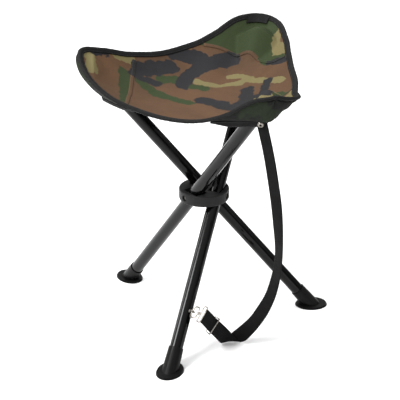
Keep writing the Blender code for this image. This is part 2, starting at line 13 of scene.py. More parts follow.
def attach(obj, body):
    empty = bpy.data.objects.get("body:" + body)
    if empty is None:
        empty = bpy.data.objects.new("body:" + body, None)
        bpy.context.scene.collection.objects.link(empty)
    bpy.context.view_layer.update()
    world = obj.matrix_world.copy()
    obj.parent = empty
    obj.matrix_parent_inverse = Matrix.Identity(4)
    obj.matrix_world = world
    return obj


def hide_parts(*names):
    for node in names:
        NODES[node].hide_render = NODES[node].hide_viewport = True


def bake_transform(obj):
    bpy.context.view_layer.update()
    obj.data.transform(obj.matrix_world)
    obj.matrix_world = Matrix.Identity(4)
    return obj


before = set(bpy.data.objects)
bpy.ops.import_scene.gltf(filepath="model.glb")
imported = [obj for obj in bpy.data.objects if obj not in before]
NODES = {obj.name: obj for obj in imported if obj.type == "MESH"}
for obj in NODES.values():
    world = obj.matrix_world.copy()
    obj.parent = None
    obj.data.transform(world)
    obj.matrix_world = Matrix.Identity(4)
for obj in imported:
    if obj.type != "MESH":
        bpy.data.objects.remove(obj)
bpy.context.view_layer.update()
HUB = Vector((0.0097, -0.0060, 0.0))
UP = Vector((0.0, 0.0, 1.0))
PITCH = math.radians(50.7)
PIVOT_HEIGHT = 0.2351
LEG_OFFSET = 0.0224
TUBE_RADIUS = 0.011
TUBE_HIGH = 0.286
AZIMUTH = {"a": -28.5, "b": 207.5, "c": 90.0}
SECTOR = {"a": (-90.5, 30.75), "c": (30.75, 148.75), "b": (148.75, 269.5)}
SEAM = {"a": (0.128, 0.0, 0.0), "b": (0.118, -0.125, 0.0), "c": (0.122, 0.05, 0.026)}


# Camera, at the eye of someone standing in front of the stool
def make_camera():
    turn, lift, distance = math.radians(23.3), math.radians(24.9), 2.201
    back = Vector((math.sin(turn) * math.cos(lift), -math.cos(turn) * math.cos(lift), math.sin(lift)))
    data = bpy.data.cameras.new("camera")
    data.sensor_width = 36.0
    data.lens = 117.9
    camera = bpy.data.objects.new("camera", data)
    bpy.context.scene.collection.objects.link(camera)
    aim = HUB + Vector((-0.0068 * math.cos(turn), -0.0068 * math.sin(turn), 0.2203))
    camera.location = aim + distance * back
    camera.rotation_euler = back.to_track_quat("Z", "Y").to_euler()
    bpy.context.scene.camera = camera


make_camera()


# Materials
class Nodes:
    """A small helper that wires one material's nodes."""

    def __init__(self, name, color, roughness, metallic=0.0):
        self.material = bpy.data.materials.new(name)
        self.material.use_nodes = True
        self.tree = self.material.node_tree
        self.shader = self.tree.nodes["Principled BSDF"]
        self.shader.inputs["Base Color"].default_value = (*color, 1.0)
        self.shader.inputs["Roughness"].default_value = roughness
        self.shader.inputs["Metallic"].default_value = metallic
        coordinates = self.tree.nodes.new("ShaderNodeTexCoord")
        self.place = coordinates.outputs["Object"]

    def link(self, source, target):
        self.tree.links.new(source, target)

    def put(self, socket, value):
        if isinstance(value, (int, float)):
            socket.default_value = value
        elif isinstance(value, tuple):
            socket.default_value = (*value, 1.0) if len(value) == 3 and socket.type == "RGBA" else value
        else:
            self.link(value, socket)

    def noise(self, scale, detail=3.0, roughness=0.5, vector=None, distortion=0.0):
        node = self.tree.nodes.new("ShaderNodeTexNoise")
        self.link(vector or self.place, node.inputs["Vector"])
        node.inputs["Scale"].default_value = scale
        node.inputs["Detail"].default_value = detail
        node.inputs["Roughness"].default_value = roughness
        node.inputs["Distortion"].default_value = distortion
        return node.outputs["Fac"]

    def moved(self, offset=(0, 0, 0), scale=(1, 1, 1), rotation=(0, 0, 0)):
        node = self.tree.nodes.new("ShaderNodeMapping")
        self.link(self.place, node.inputs["Vector"])
        node.inputs["Location"].default_value = offset
        node.inputs["Scale"].default_value = scale
        node.inputs["Rotation"].default_value = rotation
        return node.outputs["Vector"]

    def wave(self, scale, direction, vector=None, distortion=0.0):
        node = self.tree.nodes.new("ShaderNodeTexWave")
        node.bands_direction = direction
        self.link(vector or self.place, node.inputs["Vector"])
        node.inputs["Scale"].default_value = scale
        node.inputs["Distortion"].default_value = distortion
        return node.outputs["Fac"]

    def math(self, operation, a, b=0.0, clamp=False):
        node = self.tree.nodes.new("ShaderNodeMath")
        node.operation = operation
        node.use_clamp = clamp
        self.put(node.inputs[0], a)
        self.put(node.inputs[1], b)
        return node.outputs[0]

    def ramp(self, value, low, high, start=0.0, end=1.0):
        node = self.tree.nodes.new("ShaderNodeMapRange")
        self.link(value, node.inputs["Value"])
        for name, number in (("From Min", low), ("From Max", high), ("To Min", start), ("To Max", end)):
            node.inputs[name].default_value = number
        return node.outputs["Result"]

    def mix(self, factor, a, b, blend="MIX"):
        node = self.tree.nodes.new("ShaderNodeMix")
        node.data_type = "RGBA"
        node.blend_type = blend
        self.put(node.inputs[0], factor)
        self.put(node.inputs[6], a)
        self.put(node.inputs[7], b)
        return node.outputs[2]

    def attribute(self, name):
        node = self.tree.nodes.new("ShaderNodeAttribute")
        node.attribute_name = name
        return node.outputs["Fac"]

    def bump(self, height, strength, distance=0.001, below=None):
        node = self.tree.nodes.new("ShaderNodeBump")
        node.inputs["Strength"].default_value = strength
        node.inputs["Distance"].default_value = distance
        self.link(height, node.inputs["Height"])
        if below is not None:
            self.link(below, node.inputs["Normal"])
        return node.outputs["Normal"]

    def normal(self, value):
        self.link(value, self.shader.inputs["Normal"])

    def color(self, value):
        self.link(value, self.shader.inputs["Base Color"])

    def roughness(self, value):
        self.link(value, self.shader.inputs["Roughness"])


BROWN = (0.068, 0.035, 0.017)
SLATE = (0.010, 0.010, 0.012)
LEAF = (0.019, 0.030, 0.009)
KHAKI = (0.120, 0.100, 0.042)


def weave(m, pitch=0.0009):
    """Plain weave: two crossed sets of ridges."""
    warp = m.wave(1.0 / pitch / 6.283 * 3.14, "X")
    weft = m.wave(1.0 / pitch / 6.283 * 3.14, "Y")
    return m.math("MULTIPLY", warp, weft)


def camouflage():
    m = Nodes("camouflage_cloth", BROWN, 0.62)
    shade = m.noise(9.0, 4.0)
    brown = m.mix(m.ramp(shade, 0.3, 0.7), (0.050, 0.026, 0.013), (0.086, 0.044, 0.021))
    color = brown
    for name, tone, offset, grow in (("khaki", KHAKI, 7.0, 0.0), ("leaf", LEAF, 3.0, 0.0005),
                                     ("slate", SLATE, 11.0, 0.0007)):
        ragged = m.noise(85.0, 3.0, 0.55, vector=m.moved((offset, offset, 0)))
        spread = m.math("MULTIPLY", m.math("SUBTRACT", ragged, 0.5), 0.016)
        depth = m.math("ADD", m.attribute(name), spread)
        color = m.mix(m.ramp(depth, grow - 0.0004, grow + 0.0004, 1.0, 0.0), color, tone)
    threads = weave(m)
    fuzz = m.noise(900.0, 2.0)
    color = m.mix(m.ramp(fuzz, 0.35, 0.65, 0.0, 0.04), color, (0.12, 0.10, 0.08))
    m.color(color)
    m.roughness(m.ramp(fuzz, 0.3, 0.7, 0.55, 0.75))
    m.shader.inputs["Specular IOR Level"].default_value = 0.14
    creases = m.noise(38.0, 4.0, 0.55, distortion=0.6)
    m.normal(m.bump(threads, 0.35, 0.0003, m.bump(creases, 0.25, 0.004)))
    return m.material


def plain_cloth(name, tone, other):
    m = Nodes(name, tone, 0.85)
    blotch = m.noise(26.0, 3.0, 0.5, distortion=0.8)
    color = m.mix(m.ramp(blotch, 0.47, 0.53), tone, other)
    fuzz = m.noise(900.0, 2.0)
    m.color(m.mix(m.ramp(fuzz, 0.35, 0.65, 0.0, 0.06), color, (0.08, 0.08, 0.07)))
    m.shader.inputs["Specular IOR Level"].default_value = 0.14
    creases = m.noise(45.0, 4.0, 0.55, distortion=0.7)
    m.normal(m.bump(weave(m), 0.35, 0.0003, m.bump(creases, 0.3, 0.004)))
    return m.material


def tape_cloth(name, tone, rib=0.0011):
    """Grosgrain tape: fine ribs, slightly worn on its high spots."""
    m = Nodes(name, tone, 0.78)
    wear = m.noise(55.0, 4.0, 0.6)
    lint = m.noise(700.0, 2.0)
    color = m.mix(m.ramp(wear, 0.45, 0.75, 0.0, 0.35), tone, tuple(2.5 * c + 0.004 for c in tone))
    m.color(m.mix(m.ramp(lint, 0.6, 0.75, 0.0, 0.2), color, (0.07, 0.07, 0.07)))
    m.roughness(m.ramp(wear, 0.3, 0.7, 0.6, 0.8))
    m.shader.inputs["Specular IOR Level"].default_value = 0.12
    ribs = m.wave(0.5 / rib, "DIAGONAL")
    m.normal(m.bump(ribs, 0.4, 0.0003, m.bump(wear, 0.25, 0.0012)))
    return m.material


def webbing():
    """Woven webbing, its ribs in a shallow chevron from the strap's own coordinates."""
    m = Nodes("black_webbing", (0.006, 0.006, 0.006), 0.65)
    along, across = m.attribute("along"), m.attribute("across")
    chevron = m.math("ADD", along, m.math("MULTIPLY", m.math("ABSOLUTE", across), 0.6))
    ribs = m.math("SINE", m.math("MULTIPLY", chevron, 6.283 / 0.0016))
    rows = m.math("SINE", m.math("MULTIPLY", across, 6.283 / 0.0025))
    height = m.math("ADD", m.math("MULTIPLY", ribs, 0.5), m.math("MULTIPLY", rows, 0.5))
    wear = m.noise(60.0, 4.0)
    # Darker in the grooves between the ribs and lighter on their crests: painted shade in the grooves and a
    # painted highlight on the crests.
    tone = m.mix(m.ramp(height, -0.6, 1.0), (0.002, 0.002, 0.002), (0.007, 0.007, 0.007))
    m.color(m.mix(m.ramp(wear, 0.5, 0.8, 0.0, 0.3), tone, (0.013, 0.013, 0.013)))
    m.shader.inputs["Specular IOR Level"].default_value = 0.05
    m.normal(m.bump(height, 0.5, 0.0004))
    return m.material


def gloss_paint():
    m = Nodes("gloss_black_paint", (0.0015, 0.0015, 0.0015), 0.2)
    peel = m.noise(420.0, 2.0)
    haze = m.noise(14.0, 4.0)
    m.roughness(m.ramp(haze, 0.3, 0.75, 0.05, 0.13))
    m.shader.inputs["Specular IOR Level"].default_value = 0.18
    m.normal(m.bump(peel, 0.05, 0.0003))
    return m.material


def moulded(name, tone, roughness, grain=1500.0, strength=0.25):
    m = Nodes(name, tone, roughness)
    texture = m.noise(grain, 2.0)
    scuff = m.noise(35.0, 5.0, 0.65)
    m.color(m.mix(m.ramp(scuff, 0.52, 0.78, 0.0, 0.3), tone, tuple(2.2 * c + 0.006 for c in tone)))
    m.roughness(m.ramp(scuff, 0.3, 0.75, roughness - 0.08, roughness + 0.14))
    m.shader.inputs["Specular IOR Level"].default_value = 0.09
    m.normal(m.bump(texture, strength, 0.0002))
    return m.material


def worn_metal(name, tone, dull):
    m = Nodes(name, tone, 0.22, 1.0)
    tarnish = m.noise(160.0, 4.0, 0.6)
    brushed = m.noise(60.0, 3.0, vector=m.moved(scale=(1, 14, 1)))
    m.color(m.mix(m.ramp(tarnish, 0.42, 0.68), tone, dull))
    m.roughness(m.ramp(tarnish, 0.3, 0.7, 0.28, 0.45))
    m.normal(m.bump(brushed, 0.08, 0.0004))
    return m.material


def thread(name, tone):
    m = Nodes(name, tone, 0.6)
    twist = m.wave(900.0, "DIAGONAL")
    # The colour follows the twist's ridges: painted shade in its grooves and a painted highlight on its
    # crests.
    m.color(m.mix(twist, tuple(0.7 * c for c in tone), tuple(1.25 * c for c in tone)))
    m.normal(m.bump(twist, 0.4, 0.0002))
    return m.material


CAMO = camouflage()
LINING = plain_cloth("coated_back", (0.012, 0.014, 0.010), (0.009, 0.010, 0.008))
POCKET_CLOTH = plain_cloth("dark_green_cloth", (0.012, 0.017, 0.009), (0.007, 0.008, 0.007))
TAPE = tape_cloth("edge_tape", (0.006, 0.006, 0.006))
HEM_TAPE = tape_cloth("hem_tape", (0.004, 0.004, 0.004))
TAG_CLOTH = tape_cloth("tag_satin", (0.004, 0.004, 0.004), 0.0006)
WEBBING = webbing()
PAINT = gloss_paint()
PLASTIC = moulded("hub_plastic", (0.014, 0.014, 0.014), 0.42)
CAP_PLASTIC = moulded("plug_plastic", (0.010, 0.010, 0.010), 0.5)
RUBBER = moulded("boot_rubber", (0.004, 0.004, 0.004), 0.34, 900.0, 0.12)
METAL = worn_metal("bright_nickel", (0.34, 0.32, 0.29), (0.12, 0.11, 0.09))
# A dark metal for the pivot pins.
DARK_METAL = worn_metal("dark_pin_metal", (0.060, 0.058, 0.055), (0.020, 0.019, 0.018))
BLACK_THREAD = thread("black_thread", (0.022, 0.022, 0.022))
GREEN_THREAD = thread("olive_thread", (0.040, 0.042, 0.024))


# Meshes
def make_object(name, mesh, *materials):
    made = bpy.data.objects.new(name, mesh)
    bpy.context.scene.collection.objects.link(made)
    for item in materials:
        mesh.materials.append(item)
    return made


def net(rows, columns, point):
    """An open surface through point(i, j)."""
    bm = bmesh.new()
    verts = [[bm.verts.new(point(i, j)) for j in range(columns + 1)] for i in range(rows + 1)]
    for near, far in zip(verts, verts[1:]):
        for j in range(columns):
            bm.faces.new((near[j], far[j], far[j + 1], near[j + 1]))
    return bm


def finished(bm, name):
    mesh = bpy.data.meshes.new(name)
    bmesh.ops.remove_doubles(bm, verts=bm.verts, dist=0.00002)
    bmesh.ops.recalc_face_normals(bm, faces=bm.faces)
    bm.to_mesh(mesh)
    bm.free()
    mesh.shade_smooth()
    return mesh


def thicken(item, thickness, offset=0.0, back_slot=0):
    """Apply a Solidify, so the piece is a closed body."""
    solid = item.modifiers.new("Solidify", "SOLIDIFY")
    solid.thickness = thickness
    solid.offset = offset
    solid.material_offset = back_slot
    bpy.context.view_layer.update()
    graph = bpy.context.evaluated_depsgraph_get()
    mesh = bpy.data.meshes.new_from_object(item.evaluated_get(graph))
    item.modifiers.clear()
    item.data = mesh
    mesh.shade_smooth()
    mesh.set_sharp_from_angle(angle=math.radians(50))


def loft(name, sections, closed_ends=True):
    """Skin a list of closed sections, each a list of points."""
    bm = bmesh.new()
    rings = [[bm.verts.new(p) for p in section] for section in sections]
    count = len(rings[0])
    for near, far in zip(rings, rings[1:]):
        for k in range(count):
            bm.faces.new((near[k], near[(k + 1) % count], far[(k + 1) % count], far[k]))
    if closed_ends:
        bm.faces.new(rings[0])
        bm.faces.new(rings[-1][::-1])
    return finished(bm, name)


def smooth_path(points, per_span):
    ends = [points[0], *points, points[-1]]
    path = []
    for k in range(1, len(ends) - 2):
        before, start, end, after = ends[k - 1:k + 3]
        for step in range(per_span):
            t = step / per_span
            path.append(tuple(
                0.5 * (2 * b + (c - a) * t + (2 * a - 5 * b + 4 * c - d) * t * t
                       + (3 * b - a - 3 * c + d) * t ** 3)
                for a, b, c, d in zip(before, start, end, after)))
    return path + [tuple(points[-1])]


# The seat's shape
OUTLINE = [
    (-45, 0.184, 0.460), (-37, 0.202, 0.467), (-22, 0.200, 0.457), (-8, 0.167, 0.447),
    (12, 0.150, 0.444), (35, 0.148, 0.446), (54, 0.166, 0.454), (68, 0.198, 0.463),
    (79, 0.229, 0.475), (88, 0.230, 0.481), (97, 0.202, 0.480), (107, 0.168, 0.463),
    (121, 0.143, 0.451), (149, 0.126, 0.448), (176, 0.142, 0.459), (191, 0.171, 0.475),
    (203, 0.199, 0.484), (214, 0.193, 0.460), (228, 0.169, 0.434), (246, 0.138, 0.416),
    (268, 0.126, 0.410), (292, 0.137, 0.417), (306, 0.160, 0.436),
]
SEAT_LOW = 0.402
SAG_POWER = 2.8
TAPE_WIDTH = 0.009


def leg_axes(letter):
    angle = math.radians(AZIMUTH[letter])
    out = Vector((math.cos(angle), math.sin(angle), 0.0))
    return out, Vector((out.y, -out.x, 0.0))


def outline_at(angle):
    turn = (angle + 45) % 360 - 45
    count = len(OUTLINE)
    k = max(i for i in range(count) if OUTLINE[i][0] <= turn)

    def knot(i):
        a, radius, height = OUTLINE[i % count]
        return a + 360 * (i // count), radius, height

    before, start, end, after = (knot(k + i) for i in (-1, 0, 1, 2))
    t = (turn - start[0]) / (end[0] - start[0])
    values = []
    for column in (1, 2):
        slope_in = (end[column] - before[column]) / (end[0] - before[0]) * (end[0] - start[0])
        slope_out = (after[column] - start[column]) / (after[0] - start[0]) * (end[0] - start[0])
        values.append((2 * t ** 3 - 3 * t ** 2 + 1) * start[column] + (t ** 3 - 2 * t ** 2 + t) * slope_in
                      + (3 * t ** 2 - 2 * t ** 3) * end[column] + (t ** 3 - t ** 2) * slope_out)
    return values


def ridge_height(plan, letter):
    out, pin = leg_axes(letter)
    along, aside = plan.dot(out), plan.dot(pin) - LEG_OFFSET
    crest = (TUBE_HIGH + 0.0065) * math.cos(PITCH) - TUBE_RADIUS * math.sin(PITCH)
    lift = (TUBE_RADIUS + 0.0022) / math.cos(PITCH)
    height = PIVOT_HEIGHT + min(along, crest) * math.tan(PITCH) + lift
    height -= max(0.0, along - crest - 0.008) * 0.4
    return height - 0.8 * (math.hypot(aside, 0.012) - 0.012)


def tension_folds(plan):
    """Shallow folds that run in from the corners, and a soft ripple along the sides."""
    total = 0.0
    for letter in AZIMUTH:
        out, pin = leg_axes(letter)
        along, aside = plan.dot(out), plan.dot(pin) - LEG_OFFSET
        if along < 0.02:
            continue
        near = math.exp(-((along - 0.115) / 0.05) ** 2)
        fan = aside / (0.25 + along) * 4.0
        total += 0.0028 * near * math.sin(9.0 * fan + 1.3) * math.exp(-(aside / 0.06) ** 2)
    total += 0.0006 * noise.noise(Vector((plan.x * 28, plan.y * 28, 1.7)))
    return total


def seat_point(angle, share, lift=0.0):
    radius, edge = outline_at(angle)
    turn = math.radians(angle)
    plan = share * radius * Vector((math.cos(turn), math.sin(turn), 0.0))
    height = SEAT_LOW + (edge - SEAT_LOW) * share ** SAG_POWER
    height += tension_folds(plan) * min(1.0, 5.0 * (1.0 - share))
    if plan.length > 0.06:
        for letter in AZIMUTH:
            over = ridge_height(plan, letter)
            height = (height + over + math.hypot(height - over, 0.004)) / 2
    return HUB + plan + (height + lift) * UP


def tape_share(angle, width):
    return 1 - width / outline_at(angle)[0]


def seat_frame(angle, share):
    """A point of the seat with the directions inward, along its edge and up out of the cloth."""
    here = seat_point(angle, share)
    inward = (seat_point(angle, share - 0.02) - here).normalized()
    along = (seat_point(angle + 0.6, share) - seat_point(angle - 0.6, share)).normalized()
    up = inward.cross(along).normalized()
    if up.z < 0:
        up = -up
    inward = (inward - inward.dot(along) * along).normalized()
    return here, inward, along, up


def bent(item):
    """Bakes the piece's placement into its mesh."""
    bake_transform(item)


# The print: rough strokes of each colour, as plan points and a half width in centimetres
SLATE_STROKES = [
    ([(-0.6, 13.9), (-2.8, 11.5), (-4.9, 8.3), (-5.3, 5.6), (-5.2, 3.0)], 1.15),
    ([(-5.0, 10.9), (-7.2, 9.6), (-9.6, 8.0)], 1.2),
    ([(-8.3, 5.7), (-10.2, 2.8), (-11.9, 0.2)], 1.15),
    ([(-8.6, 0.2), (-10.4, -0.9), (-12.0, -1.2)], 0.9),
    ([(0.3, -1.0), (3.3, -1.5), (5.6, -3.4)], 1.45),
    ([(5.9, -2.6), (6.9, 0.8), (5.5, 5.0)], 1.1),
    ([(7.0, 1.6), (9.0, 2.7), (8.3, 7.3)], 0.65),
    ([(6.4, 13.3), (9.4, 11.6)], 0.55),
    ([(-16.4, -3.0), (-17.6, -5.2)], 0.7),
    ([(11.8, -9.6), (12.8, -11.4), (14.6, -10.8)], 1.0),
]
KHAKI_STROKES = [
    ([(0.8, 9.7), (3.3, 9.6), (5.4, 8.5), (8.2, 7.3), (11.2, 5.9)], 0.75),
    ([(4.4, 9.2), (3.0, 7.4), (0.0, 5.9), (-3.6, 5.2)], 0.75),
    ([(9.3, 1.5), (7.6, -1.0), (7.9, -3.8)], 0.95),
    ([(11.4, -11.6), (13.4, -13.6)], 0.9),
]
LEAF_STROKES = [
    ([(-8.5, 1.9), (-6.6, 3.4)], 0.85),
    ([(-3.6, 3.6), (-1.4, 3.8)], 0.7),
    ([(-10.4, -2.0), (-7.4, -2.6), (-4.9, -2.4), (-1.4, -3.0)], 0.95),
    ([(4.6, 14.6), (8.2, 12.8)], 0.9),
    ([(9.8, 1.6), (12.0, 0.4), (14.5, -2.0)], 1.1),
    ([(12.0, -6.0), (14.0, -8.0)], 2.0),
]

CORNER_KHAKI = {
    "c": [([(3.3, 21.5), (5.4, 17.0), (7.6, 14.6)], 1.35)],
    "a": [([(4.0, -13.5), (11.0, -9.8), (18.0, -8.0), (18.0, -2.0)], 3.2),
          ([(14.0, -12.5), (17.0, -11.5)], 3.0)],
    "b": [([(-17.2, -6.6), (-15.8, -8.6)], 0.9), ([(-15.3, -1.5), (-13.0, 0.6)], 0.7)],
}
CORNER_LEAF = {
    "c": [([(-6.0, 13.0), (-3.0, 14.4), (-1.0, 17.0), (1.0, 20.0), (1.0, 23.5)], 3.7),
          ([(2.6, 19.0), (3.4, 16.5), (4.2, 14.0)], 1.9)],
    "a": [([(12.0, -13.0), (14.0, -10.0)], 0.8), ([(16.4, -11.0), (17.5, -7.5)], 0.7),
          ([(9.0, -12.5), (7.0, -12.0)], 0.8)],
    "b": [([(-12.9, -3.0), (-11.2, -5.9), (-9.1, -10.4)], 0.9)],
}


def stroke_depth(x, y, strokes):
    """Distance to the nearest stroke's edge, negative inside."""
    best = 1.0
    for points, half in strokes:
        for (x0, y0), (x1, y1) in zip(points, points[1:]):
            dx, dy = x1 - x0, y1 - y0
            t = min(1.0, max(0.0, ((x - x0) * dx + (y - y0) * dy) / (dx * dx + dy * dy)))
            best = min(best, (math.hypot(x - x0 - t * dx, y - y0 - t * dy) - half) / 100)
    return best


def print_cloth(mesh, corner=""):
    """Each corner panel is cut from its own part of the cloth."""
    layers = (("slate", SLATE_STROKES), ("khaki", KHAKI_STROKES + CORNER_KHAKI.get(corner, [])),
              ("leaf", (LEAF_STROKES if corner != "a" else []) + CORNER_LEAF.get(corner, [])))
    for name, strokes in layers:
        values = [stroke_depth(100 * (v.co.x - HUB.x), 100 * (v.co.y - HUB.y), strokes)
                  for v in mesh.vertices]
        layer = mesh.attributes.new(name, "FLOAT", "POINT")
        layer.data.foreach_set("value", values)


# Cloth pieces
def seam_distance(letter, aside):
    """How far out along a leg its corner seam runs, at a distance to the side of the hub's axis."""
    base, skew, bow = SEAM[letter]
    return base + skew * aside + bow * max(0.0, 1 - (aside / 0.075) ** 2)


def seam_share(letter, angle):
    """Where a ray from the hub's axis meets the corner seam, as a share of the seat's radius."""
    out, pin = leg_axes(letter)
    turn = math.radians(angle)
    ray = Vector((math.cos(turn), math.sin(turn), 0.0))
    distance = 0.12
    for _ in range(12):
        target = seam_distance(letter, distance * ray.dot(pin)) / max(0.05, ray.dot(out))
        distance = 0.5 * distance + 0.5 * target
    return distance / outline_at(angle)[0]


def seat_sector(letter, outer):
    """One corner's share of the cloth: the middle panel's, or the corner panel's."""
    first, last = SECTOR[letter]
    columns, rows = (80, 40) if outer else (110, 60)

    def edge_of(angle):
        return tape_share(angle, TAPE_WIDTH * 0.6)

    if outer:
        steps = [first + (last - first) * k / 400 for k in range(401)]
        inside = [angle for angle in steps if seam_share(letter, angle) < edge_of(angle)]
        first, last = inside[0], inside[-1]

    def point(i, j):
        angle = first + (last - first) * j / columns
        edge = edge_of(angle)
        seam = min(edge, seam_share(letter, angle))
        if outer:
            return seat_point(angle, seam + (edge - seam) * i / rows, 0.0004)
        return seat_point(angle, max(0.002, seam * (i / rows) ** 0.8))

    name = f"corner_cloth_{letter}" if outer else f"seat_cloth_{letter}"
    item = make_object(name, finished(net(rows, columns, point), name), CAMO, LINING)
    if item.data.polygons[len(item.data.polygons) // 2].normal.z < 0:
        item.data.flip_normals()
    thicken(item, 0.0009, -1.0, 1)
    print_cloth(item.data, letter if outer else "")
    if outer:
        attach(item, f"leg_{letter}")
        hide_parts(f"corner_panel_{letter}")
    else:
        bent(item)
        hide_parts("seat_panel")
    return item


def edge_tape(letter, side):
    """The folded tape from a corner to the middle of the seat's side."""
    corner = corner_angle(letter)
    first, last = SECTOR[letter]
    start, end = (corner, last) if side > 0 else (first, corner)
    count = 90
    profile = tape_profile()
    sections = []
    for k in range(count + 1):
        angle = start + (end - start) * k / count
        here, inward, along, up = seat_frame(angle, 1.0)
        ripple = 0.0005 * noise.noise(Vector((angle * 0.9, side, 3.1)))
        swell = 1.0 + 0.12 * noise.noise(Vector((angle * 1.7, side, 8.4)))
        sections.append([here + (x + ripple) * inward + swell * y * up for x, y in profile])
    name = f"edge_tape_{letter}_{'left' if side > 0 else 'right'}"
    item = make_object(name, loft(name, sections), TAPE)
    bent(item)
    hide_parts(*[n for n in NODES if n.startswith("edge_binding") and letter in n[-2:]])
    return item


def tape_profile():
    """A folded tape's section: a round outer fold and two flat lips with a stitched dip."""
    upper = [(-0.0010, -0.0008), (-0.0006, 0.0010), (0.0008, 0.0021), (0.0032, 0.0022), (0.0062, 0.0018),
             (0.0072, 0.0013), (0.0082, 0.0016), (0.0092, 0.0011), (0.0093, 0.0004)]
    lower = [(0.0093, -0.0012), (0.0080, -0.0022), (0.0040, -0.0034), (0.0012, -0.0038), (-0.0006, -0.0028)]
    return upper + lower


def corner_angle(letter):
    out, pin = leg_axes(letter)
    tip = TUBE_HIGH * math.cos(PITCH) * out + LEG_OFFSET * pin
    angle = math.degrees(math.atan2(tip.y, tip.x))
    low, high = SECTOR[letter]
    while angle < low:
        angle += 360
    while angle > high:
        angle -= 360
    return angle


def stitches(name, spots, finish, half=0.0011, radius=0.00028):
    """Small rounded stitches: each spot is a place, the direction of sewing and up."""
    bm = bmesh.new()
    for place, along, up in spots:
        across = along.cross(up).normalized()
        rings = []
        for step in (-1.0, -0.6, 0.0, 0.6, 1.0):
            size = radius * (1.0 - 0.75 * abs(step) ** 3)
            centre = place + step * half * along + (0.00022 - 0.0003 * step * step) * up
            rings.append([bm.verts.new(centre + size * (math.cos(a) * across + math.sin(a) * up))
                          for a in (0.0, 1.257, 2.513, 3.770, 5.027)])
        for near, far in zip(rings, rings[1:]):
            for k in range(5):
                bm.faces.new((near[k], near[(k + 1) % 5], far[(k + 1) % 5], far[k]))
        bm.faces.new(rings[0][::-1])
        bm.faces.new(rings[-1])
    mesh = bpy.data.meshes.new(name)
    bmesh.ops.recalc_face_normals(bm, faces=bm.faces)
    bm.to_mesh(mesh)
    bm.free()
    mesh.shade_smooth()
    return make_object(name, mesh, finish)


def tape_stitches(letter):
    first, last = SECTOR[letter]
    spots = []
    angle = first
    while angle < last:
        here, inward, along, up = seat_frame(angle, 1.0)
        spots.append((here + 0.0072 * inward + 0.0014 * up, along, up))
        step = (seat_point(angle + 0.5, 1.0) - here).length
        angle += 0.5 * 0.0036 / step
    item = stitches(f"tape_stitches_{letter}", spots, BLACK_THREAD)
    bent(item)
    return item


def seam_line(letter, distance):
    """Points along a corner seam, moved outward by a distance, with the directions along it and up."""
    out, pin = leg_axes(letter)
    spots = []
    aside = -0.14
    while aside < 0.14:
        plan = (seam_distance(letter, aside) + distance) * out + aside * pin
        angle = math.degrees(math.atan2(plan.y, plan.x))
        share = plan.length / outline_at(angle)[0]
        if share < tape_share(angle, TAPE_WIDTH):
            here = seat_point(angle, share)
            ahead = (seam_distance(letter, aside + 0.001) + distance) * out + (aside + 0.001) * pin
            turn = math.degrees(math.atan2(ahead.y, ahead.x))
            after = seat_point(turn, ahead.length / outline_at(turn)[0])
            along = (after - here).normalized()
            _, inward, _, up = seat_frame(angle, share)
            up = (up - up.dot(along) * along).normalized()
            spots.append((here, along, up))
        aside += 0.0036
    return spots


def corner_seam(letter):
    """A felled seam: a low ridge of cloth with a row of stitches on each side."""
    middle = seam_line(letter, 0.0012)
    sections = []
    for here, along, up in middle:
        across = along.cross(up).normalized()
        sections.append([here + x * across + (y + 0.0004) * up for x, y in
                         ((-0.0035, -0.0006), (-0.0032, 0.0003), (-0.0022, 0.0008), (0.0, 0.0006),
                          (0.0022, 0.0008), (0.0032, 0.0003), (0.0035, -0.0006))])
    name = f"corner_seam_{letter}"
    item = make_object(name, loft(name, sections), CAMO)
    print_cloth(item.data)
    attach(item, f"leg_{letter}")
    rows = []
    for here, along, up in middle:
        across = along.cross(up).normalized()
        rows += [(here + x * across + 0.0011 * up, along, up) for x in (-0.0022, 0.0022)]
    line = stitches(f"seam_stitches_{letter}", rows, GREEN_THREAD)
    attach(line, f"leg_{letter}")
    return [item, line]


# Pockets under the corners
POCKET_DROP = 0.0034
BULGE = {"a": 0.003, "b": 0.012, "c": 0.002}
SAG = {"a": 1.3, "b": 1.4, "c": 1.4}
KEEL_LOW = {"a": (0.178, 0.4246), "b": (0.165, 0.401), "c": (0.165, 0.401)}
KEEL_BEND = {"a": (0.202, 0.417), "b": (0.208, 0.434), "c": (0.212, 0.420)}
MOUTH_AT = 0.119


def mouth_angle(letter, side):
    out, _ = leg_axes(letter)
    angle = corner_angle(letter)
    while True:
        turn = math.radians(angle)
        if outline_at(angle)[0] * (math.cos(turn) * out.x + math.sin(turn) * out.y) < MOUTH_AT:
            return angle
        angle += side * 0.5


MOUTH = {letter: (mouth_angle(letter, -1), mouth_angle(letter, 1)) for letter in AZIMUTH}


def pocket_point(letter, share, across):
    out, pin = leg_axes(letter)
    tip_angle = corner_angle(letter)
    tip = seat_point(tip_angle, tape_share(tip_angle, 0.5 * TAPE_WIDTH)) - POCKET_DROP * UP
    start, control = KEEL_LOW[letter], KEEL_BEND[letter]
    low = HUB + start[0] * out + LEG_OFFSET * pin + start[1] * UP
    mid = HUB + control[0] * out + LEG_OFFSET * pin + control[1] * UP
    keel = (1 - share) ** 2 * low + 2 * share * (1 - share) * mid + share ** 2 * tip
    mouth = MOUTH[letter][1 if across > 0 else 0]
    angle = mouth + (tip_angle - mouth) * share
    edge = seat_point(angle, tape_share(angle, 0.5 * TAPE_WIDTH)) - POCKET_DROP * UP
    reach = abs(across)
    here = keel + (edge - keel) * reach
    here += BULGE[letter] * max(share, 0.0) * math.sin(math.pi * reach) * out
    here.z = keel.z + (edge.z - keel.z) * reach ** SAG[letter]
    return here


